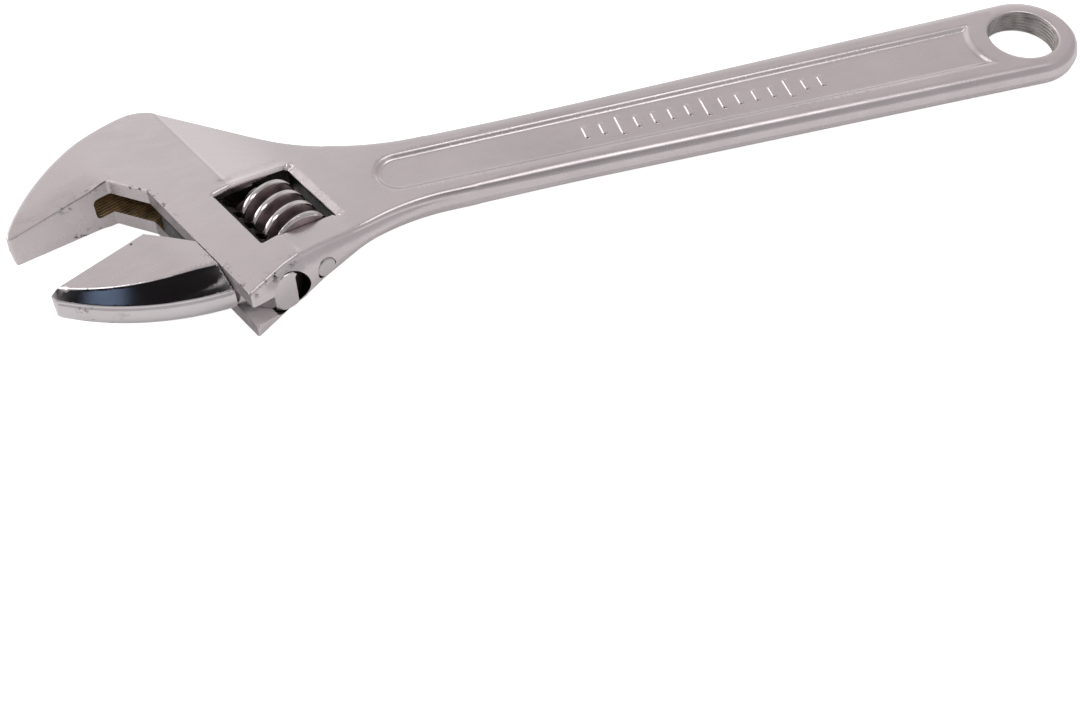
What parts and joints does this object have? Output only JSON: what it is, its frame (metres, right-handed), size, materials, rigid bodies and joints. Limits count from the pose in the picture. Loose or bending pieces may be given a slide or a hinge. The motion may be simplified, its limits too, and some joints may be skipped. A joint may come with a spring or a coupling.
{
  "type": "adjustable wrench",
  "caption": "Chrome-plated adjustable wrench: a worm in the head slides the lower jaw to fit a nut or bolt head.",
  "frame": {"origin": "centre of the hang hole, halfway through the handle's thickness", "axes": "+X along the handle from the jaws to the hang hole's end, +Y towards the fixed jaw, +Z out of the face"},
  "size_m": [0.3027, 0.0748, 0.0184],
  "materials": {
    "forged_chrome": "satin chrome plate over a forging",
    "jaw_chrome": "chrome plate, polished on the bevels and satin on the faces",
    "worm_chrome": "polished chrome plate",
    "pin_steel": "plain ground steel",
    "spring_steel": "drawn spring wire, lightly oiled"
  },
  "bodies": {
    "frame": {"wrench_body": "forged_chrome", "worm_pin": "pin_steel", "worm_spring": "spring_steel"},
    "jaw": {"movable_jaw": "jaw_chrome"},
    "knurl": {"worm": "worm_chrome"}
  },
  "joints": [
    {"name": "jaw_slide", "type": "slide", "parent": "frame", "child": "jaw", "axis": [0.3827, -0.9239, 0], "range_m": [-0.0224, 0.0125]},
    {"name": "worm_spin", "type": "hinge", "parent": "frame", "child": "knurl", "pos_m": [-0.21951, -0.00598, 0], "axis": [-0.3827, 0.9239, 0], "range_deg": [-1614, 901]}
  ],
  "couplings": [
    {"joint": "worm_spin", "follows": "jaw_slide", "rad_per_m": 1256.6}
  ]
}
